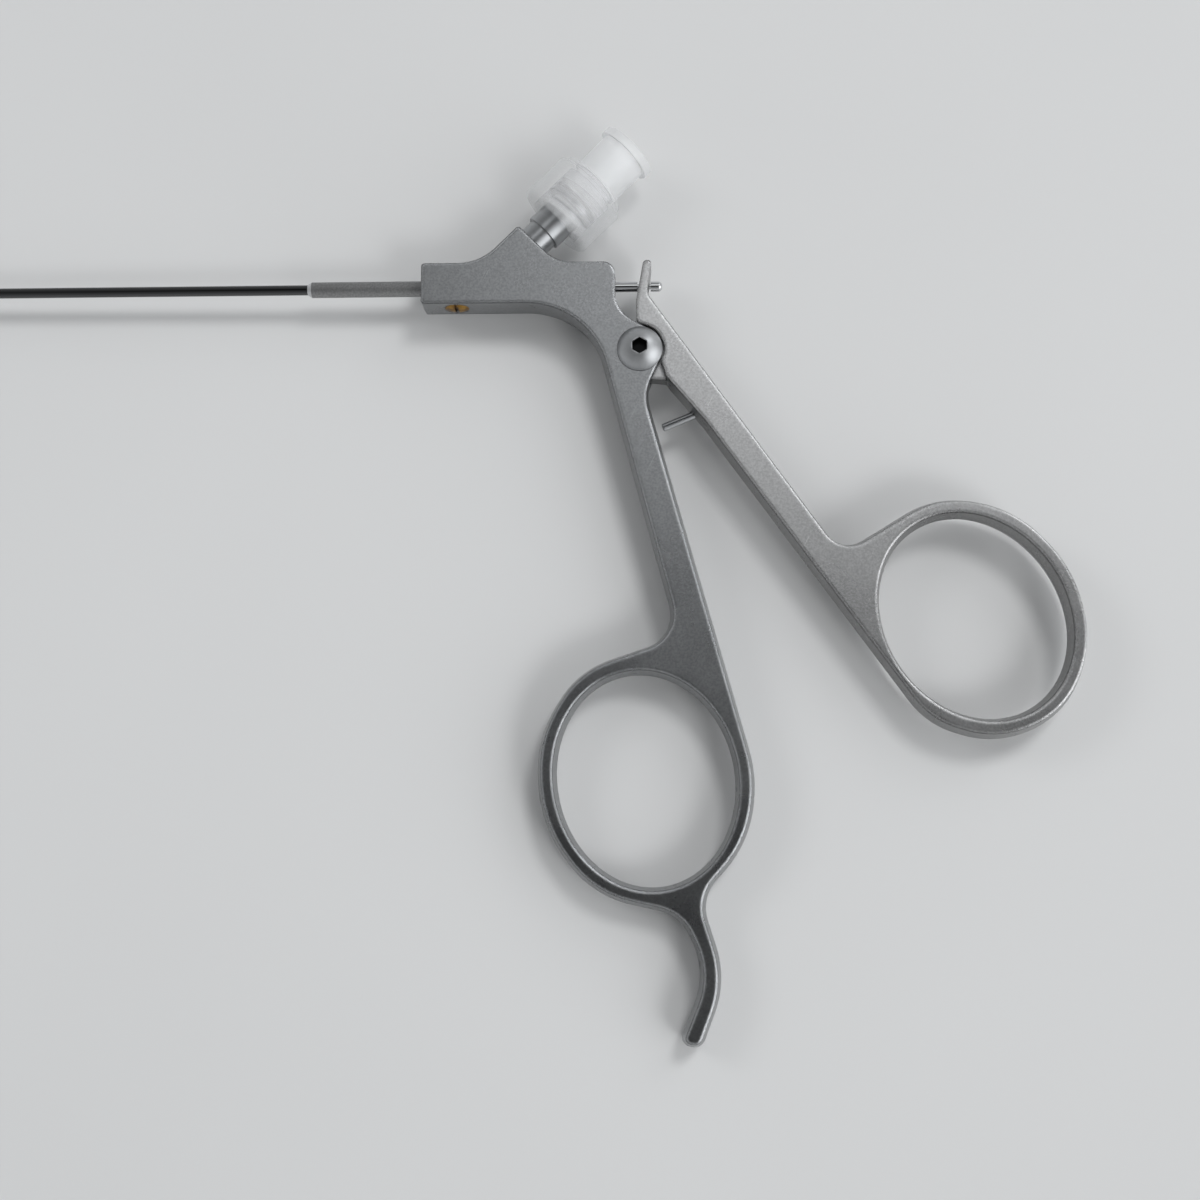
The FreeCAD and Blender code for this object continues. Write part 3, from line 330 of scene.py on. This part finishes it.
def table_corners():
    """Corners of a plane through the places that the forceps rests on, a little out of level."""
    upright = (HOOK_TIP - CONNECTOR_RIM).cross(JAW_TIP - CONNECTOR_RIM).normalized()
    if upright.z < 0:
        upright.negate()
    foot = CONNECTOR_RIM * MM
    corners = []
    for across, along in ((-1, -1), (1, -1), (1, 1), (-1, 1)):
        x, y = across * TABLE_HALF, along * TABLE_HALF
        drop = (upright.x * (x - foot.x) + upright.y * (y - foot.y)) / upright.z
        corners.append((x, y, foot.z - drop - TABLE_PLAY * MM))
    return corners


def fade_to_backdrop(surface):
    """Far from the object the table top turns into the backdrop, so that no horizon shows."""
    away = surface.node("ShaderNodeVectorMath", operation="LENGTH")
    surface.link(surface.place, away.inputs[0])
    far = surface.node("ShaderNodeMapRange", interpolation_type="SMOOTHSTEP")
    far.inputs["From Min"].default_value = FADE_START
    far.inputs["From Max"].default_value = FADE_END
    surface.link(away.outputs["Value"], far.inputs["Value"])
    backdrop = surface.node("ShaderNodeEmission")
    backdrop.inputs["Color"].default_value = (*BACKDROP_GREY, 1)
    both = surface.node("ShaderNodeMixShader")
    surface.link(far.outputs["Result"], both.inputs["Fac"])
    surface.link(surface.shader.outputs["BSDF"], both.inputs[1])
    surface.link(backdrop.outputs["Emission"], both.inputs[2])
    surface.link(both.outputs["Shader"], surface.tree.nodes["Material Output"].inputs["Surface"])


def make_floor():
    """A matt, pale table top with very faint clouds."""
    mesh = bpy.data.meshes.new("table_top")
    mesh.from_pydata(table_corners(), [], [(0, 1, 2, 3)])
    surface = Surface("table_top", roughness=0.5)
    clouds = surface.noise(scale=6, detail=3)
    low, high = shaded(TABLE_GREY, 0.985), shaded(TABLE_GREY, 1.015)
    surface.colour(surface.between(clouds, low, high, start=0.35, end=0.65))
    fade_to_backdrop(surface)
    mesh.materials.append(surface.material)
    floor = link_object("table_top", mesh)


# Materials

def blasted_steel(name, grey, warmth=0.0, edge=0.7, roughness=0.28, edge_shading=None):
    """Bead-blasted stainless steel: fine grain, soft clouds and a few fine scratches.

    edge_shading, where given, says how dark the painted shade is on the walls and under each painted bright
    rim.
    """
    surface = Surface(name, metallic=1.0)
    grain = surface.noise(scale=3600, detail=1)
    clouds = surface.noise(scale=120, detail=4, roughness=0.6)
    brushed = surface.stretched(scale=(30, 1, 1), turn=(0, 0, 63))
    scratches = surface.noise(scale=5200, detail=1, place=brushed)
    tone = tinted(grey, warmth)
    shade = surface.between(grain, shaded(tone, 0.88), shaded(tone, 1.12), start=0.32, end=0.68)
    shade = surface.mix("MULTIPLY", shade, surface.between(clouds, 0.88, 1.0, start=0.35, end=0.65))
    shade = surface.mix("MULTIPLY", shade, surface.between(scratches, 1.0, 1.3, start=0.72, end=0.78))
    surface.rough(surface.between(clouds, roughness * 0.9, roughness * 1.1))
    surface.round_edges(radius=edge)
    if edge_shading:
        wall, groove = edge_shading
        # Painted highlight on the rims and painted shade on the walls and under the rims, by how far each
        # edge faces up
        shade = surface.mix("MULTIPLY", shade, surface.edge_highlight_and_shade(wall, groove, RIM_HIGHLIGHT_GREY / grey))
    surface.colour(shade)
    surface.bump(grain, strength=0.18, distance=0.02)
    return surface.material


def turned_steel(name, grey, roughness, scale, hole=None):
    """Machined steel; scale says how fine its marks are, and hole is a place with painted shade round it."""
    surface = Surface(name, metallic=1.0)
    marks = surface.noise(scale=scale, detail=2)
    tone = tinted(grey, -0.02)
    shade = surface.between(marks, shaded(tone, 0.95), shaded(tone, 1.05))
    if hole is not None:
        # Painted shade: the colour turns near black round the hole, standing in for the shadow inside the
        # socket
        away = surface.away_from(hole, SOCKET_SHADE_FADE_START, SOCKET_SHADE_FADE_END)
        shade = surface.mix("MULTIPLY", shade, surface.between(away, SOCKET_SHADE_GREY, 1.0, start=0.0, end=1.0))
    surface.colour(shade)
    surface.rough(surface.between(marks, roughness * 0.9, roughness * 1.1))
    surface.round_edges(radius=0.12)
    surface.bump(marks, strength=0.04, distance=0.01)
    return surface.material


def polished_steel(name, grey, roughness):
    """Bright drawn steel with long faint draw lines."""
    surface = Surface(name, metallic=1.0)
    lines = surface.noise(scale=900, detail=3, place=surface.stretched(scale=(40, 1, 1)))
    tone = tinted(grey, -0.01)
    surface.colour(surface.between(lines, shaded(tone, 0.93), shaded(tone, 1.05)))
    surface.rough(surface.between(lines, roughness * 0.8, roughness * 1.2))
    surface.bump(lines, strength=0.05, distance=0.01)
    return surface.material


def turned_brass(name):
    """Brass with slight tarnish."""
    surface = Surface(name, metallic=1.0)
    stain = surface.noise(scale=900, detail=4)
    surface.colour(surface.between(stain, BRASS_TARNISHED, BRASS_BRIGHT, start=0.35, end=0.65))
    surface.rough(surface.between(stain, 0.28, 0.45))
    surface.bump(stain, strength=0.15, distance=0.01)
    return surface.material


def frosted_plastic(name, alpha, grey):
    """Translucent moulded plastic with a fine frost; alpha is what each of its walls hides."""
    surface = Surface(name, IOR=1.45, Alpha=alpha)
    frost = surface.noise(scale=2600, detail=2)
    clouds = surface.noise(scale=260, detail=3)
    surface.colour(surface.between(clouds, shaded(PLASTIC_DULL, grey), shaded(PLASTIC_CLEAR, grey)))
    surface.rough(surface.between(clouds, 0.28, 0.40))
    surface.bump(frost, strength=0.08, distance=0.02)
    return surface.material


def black_rubber(name):
    """Matt black rubber with a fine grain."""
    surface = Surface(name, roughness=0.6)
    grain = surface.noise(scale=3000, detail=2)
    surface.colour(surface.between(grain, 0.012, 0.03))
    surface.bump(grain, strength=0.2, distance=0.02)
    return surface.material


def make_materials():
    """Materials by CAD node, or by material slot for the nodes that have none of their own."""
    return {
        "front_handle": blasted_steel("front_handle_steel", grey=0.34, warmth=-0.02, edge_shading=(1.0, 0.15)),
        "thumb_handle": blasted_steel("thumb_handle_steel", grey=0.52, edge_shading=(0.60, 0.12)),
        "dark_screw": turned_steel("screw_steel", grey=0.50, roughness=0.40, scale=1500, hole=SOCKET_FLOOR),
        "bright_pin": turned_steel("pin_steel", grey=0.55, roughness=0.22, scale=2500),
        "lock_screw": turned_brass("lock_screw_brass"),
        "shaft_ferrule": blasted_steel("ferrule_steel", grey=0.34, edge=0.1, roughness=0.55),
        "polished_steel": polished_steel("polished_steel", grey=0.62, roughness=0.12),
        # The shaft's near-black grey is a painted dark reflection of the dim room overhead on polished steel
        "shaft_tube": polished_steel("shaft_steel_painted_dark", grey=0.10, roughness=0.08),
        "port_stub": turned_steel("port_steel", grey=0.42, roughness=0.34, scale=1800),
        "frosted_plastic": frosted_plastic("frosted_plastic", alpha=0.36, grey=0.84),
        "drive_rod": polished_steel("rod_steel", grey=0.60, roughness=0.10),
        "black_rubber": black_rubber("seal_rubber"),
        "luer_collar": frosted_plastic("clear_plastic", alpha=0.23, grey=0.84),
    }


def dress_nodes(materials):
    """Give each CAD node its material and smooth shading."""
    slots = {entry["node"]: entry["material_slot"] for entry in frame["record"]["subparts"]}
    for name, node in frame["nodes"].items():
        node.data.materials.clear()
        node.data.materials.append(materials.get(name) or materials[slots[name]])
        shade_smooth(node.data)


# The collar's thread

def port_matrix():
    """Places a piece made along +X on the port's axis."""
    turn = Vector((1, 0, 0)).rotation_difference(PORT_WAY).to_matrix().to_4x4()
    return Matrix.Translation(PORT_FOOT * MM) @ turn


def thread_row(form, along, around, peak):
    """The thread's cross-section at a place along the axis and an angle round it."""
    root = THREAD_ROOT_RADIUS
    root_half = THREAD_ROOT_WIDTH / 2
    crest_half = THREAD_CREST_WIDTH / 2
    section = ((-root_half, root), (-crest_half, peak), (crest_half, peak), (root_half, root))
    return [form.verts.new(Vector((along + shift, radius * math.cos(around), radius * math.sin(around))) * MM)
            for shift, radius in section]


def thread_helix(form, phase):
    """One start of the thread, a wedge swept along a helix that rises from the bore at both ends."""
    steps = int(THREAD_LENGTH / THREAD_PITCH * THREAD_STEPS_A_TURN)
    rows = []
    for step in range(steps + 1):
        turns = step / THREAD_STEPS_A_TURN
        ease = min(1.0, step / THREAD_EASE_STEPS, (steps - step) / THREAD_EASE_STEPS)
        rise = (THREAD_ROOT_RADIUS - THREAD_CREST_RADIUS) * max(ease, THREAD_LEAST_RISE)
        along = COLLAR_START + THREAD_INSET + THREAD_PITCH * turns
        rows.append(thread_row(form, along, phase + 2 * math.pi * turns, THREAD_ROOT_RADIUS - rise))
    corners = len(rows[0])
    for first, second in zip(rows, rows[1:]):
        for side in range(corners):
            other = (side + 1) % corners
            form.faces.new((first[side], first[other], second[other], second[side]))
    form.faces.new(rows[0])
    form.faces.new(list(reversed(rows[-1])))


def make_collar_thread(material):
    """Inner thread of the turning collar, seen through its frosted wall."""
    form = bmesh.new()
    for begin in range(THREAD_STARTS):
        thread_helix(form, 2 * math.pi * begin / THREAD_STARTS)
    bmesh.ops.recalc_face_normals(form, faces=form.faces)
    mesh = bpy.data.meshes.new("collar_thread")
    form.to_mesh(mesh)
    form.free()
    shade_smooth(mesh)
    mesh.materials.append(material)
    thread = link_object("collar_thread", mesh)
    thread.matrix_world = port_matrix()
    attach(thread, "collar")


def main():
    materials = make_materials()
    make_camera()
    make_world()
    make_lamps()
    make_floor()
    dress_nodes(materials)
    make_collar_thread(materials["luer_collar"])
    bpy.context.scene.view_settings.view_transform = "Standard"


main()
